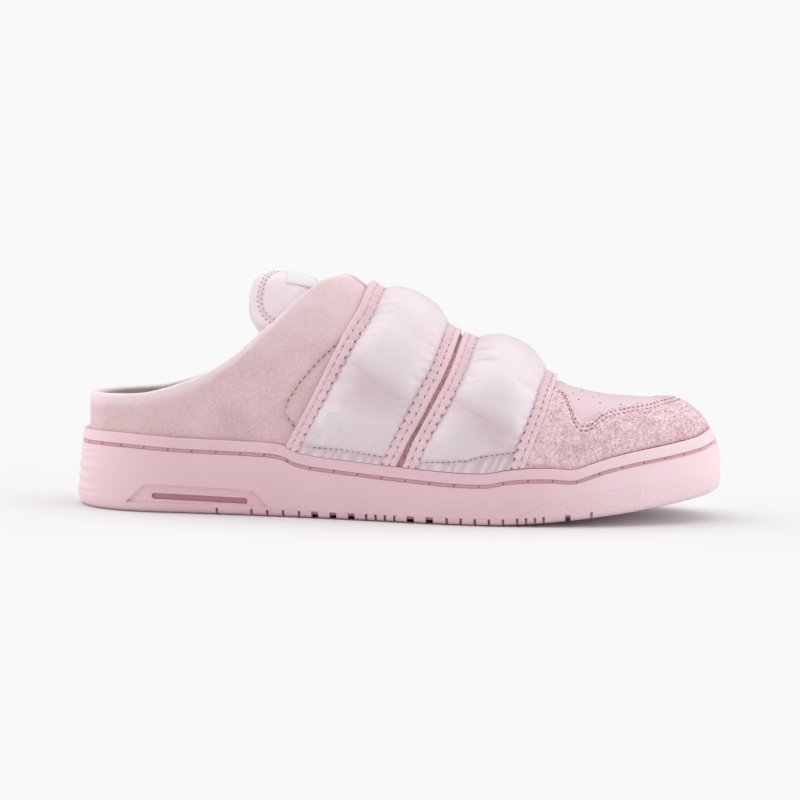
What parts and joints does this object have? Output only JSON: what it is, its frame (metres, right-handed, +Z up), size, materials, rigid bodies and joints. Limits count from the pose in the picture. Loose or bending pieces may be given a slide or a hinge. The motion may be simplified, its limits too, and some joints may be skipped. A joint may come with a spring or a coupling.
{
  "type": "sneaker mule",
  "caption": "Low slip-on sneaker mule with a padded collar, puffed satin instep straps, suede toe guard and rubber cup sole.",
  "frame": {"origin": "on the floor under the heel, on the sole's flat underside, 40 mm forward of its rearmost point and on its middle line", "axes": "+X forward to the toe, +Y to the inner side of the foot, +Z up"},
  "size_m": [0.2702, 0.0986, 0.0993],
  "materials": {
    "sole_rubber": "matte pale pink rubber",
    "nubuck": "pale pink nubuck with a soft nap",
    "insole_cloth": "pale pink woven cloth",
    "tongue_cloth": "pale pink satin cloth with a ribbed bound edge",
    "label": "plain pale tab",
    "suede": "shaggy pink suede",
    "satin": "pale pink satin with a soft sheen",
    "binding": "ribbed pink edging tape"
  },
  "bodies": {
    "root": {"sole": "sole_rubber", "upper": "nubuck", "insole": "insole_cloth", "tongue": "tongue_cloth", "tongue_label": "label", "toe_guard": "suede", "strap_rear": "satin", "strap_rear_binding_rear": "binding", "strap_rear_binding_front": "binding", "strap_front": "satin", "strap_front_binding_rear": "binding", "strap_front_binding_front": "binding"}
  },
  "joints": []
}
